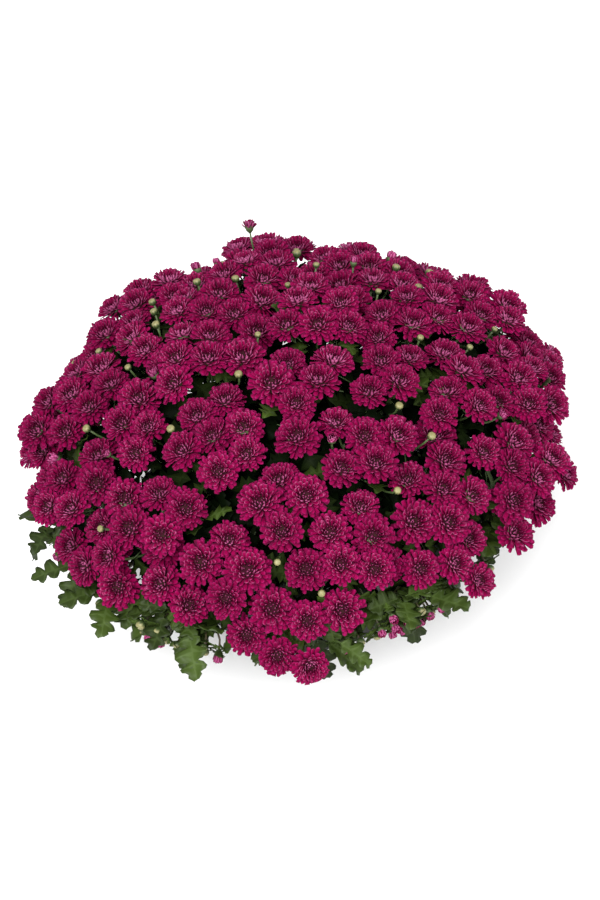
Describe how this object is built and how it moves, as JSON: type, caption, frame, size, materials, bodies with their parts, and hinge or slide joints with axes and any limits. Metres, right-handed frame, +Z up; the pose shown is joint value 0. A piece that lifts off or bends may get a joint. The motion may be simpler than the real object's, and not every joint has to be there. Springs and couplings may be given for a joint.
{
  "type": "pot chrysanthemum",
  "caption": "Garden chrysanthemum in a tapered black pot: a wide dome of double magenta blooms on branching leafy stems, with lobed green leaves hanging over the rim.",
  "frame": {"origin": "centre of the pot's base, on the ground", "axes": "+Z up; the front of the bush faces -Y, its right side +X"},
  "size_m": [0.558, 0.5773, 0.3392],
  "materials": {
    "pot": "moulded black plastic, matte",
    "soil": "dark peat potting mix, rough",
    "foliage": "living green stem and leaf, soft sheen",
    "petals": "velvety magenta petals, matte"
  },
  "bodies": {
    "root": {"blooms_01": "petals", "blooms_02": "petals", "blooms_03": "petals", "blooms_04": "petals", "blooms_05": "petals", "blooms_06": "petals", "blooms_07": "petals", "blooms_08": "petals", "blooms_09": "petals", "blooms_10": "petals", "blooms_11": "petals", "blooms_12": "petals", "blooms_13": "petals", "blooms_14": "petals", "blooms_15": "petals", "blooms_16": "petals", "blooms_17": "petals", "blooms_18": "petals", "blooms_19": "petals", "blooms_20": "petals", "blooms_21": "petals", "blooms_22": "petals", "blooms_23": "petals", "blooms_24": "petals", "blooms_25": "petals", "blooms_26": "petals", "blooms_27": "petals", "blooms_28": "petals", "blooms_29": "petals", "blooms_30": "petals", "blooms_31": "petals", "blooms_32": "petals", "blooms_33": "petals", "blooms_34": "petals", "blooms_35": "petals", "blooms_36": "petals", "blooms_37": "petals", "blooms_38": "petals", "blooms_39": "petals", "blooms_40": "petals", "blooms_41": "petals", "blooms_42": "petals", "leafy_stem_01": "foliage", "leafy_stem_02": "foliage", "leafy_stem_03": "foliage", "leafy_stem_04": "foliage", "leafy_stem_05": "foliage", "leafy_stem_06": "foliage", "leafy_stem_07": "foliage", "leafy_stem_08": "foliage", "leafy_stem_09": "foliage", "leafy_stem_10": "foliage", "leafy_stem_11": "foliage", "leafy_stem_12": "foliage", "leafy_stem_13": "foliage", "leafy_stem_14": "foliage", "pot": "pot", "soil": "soil"}
  },
  "joints": []
}
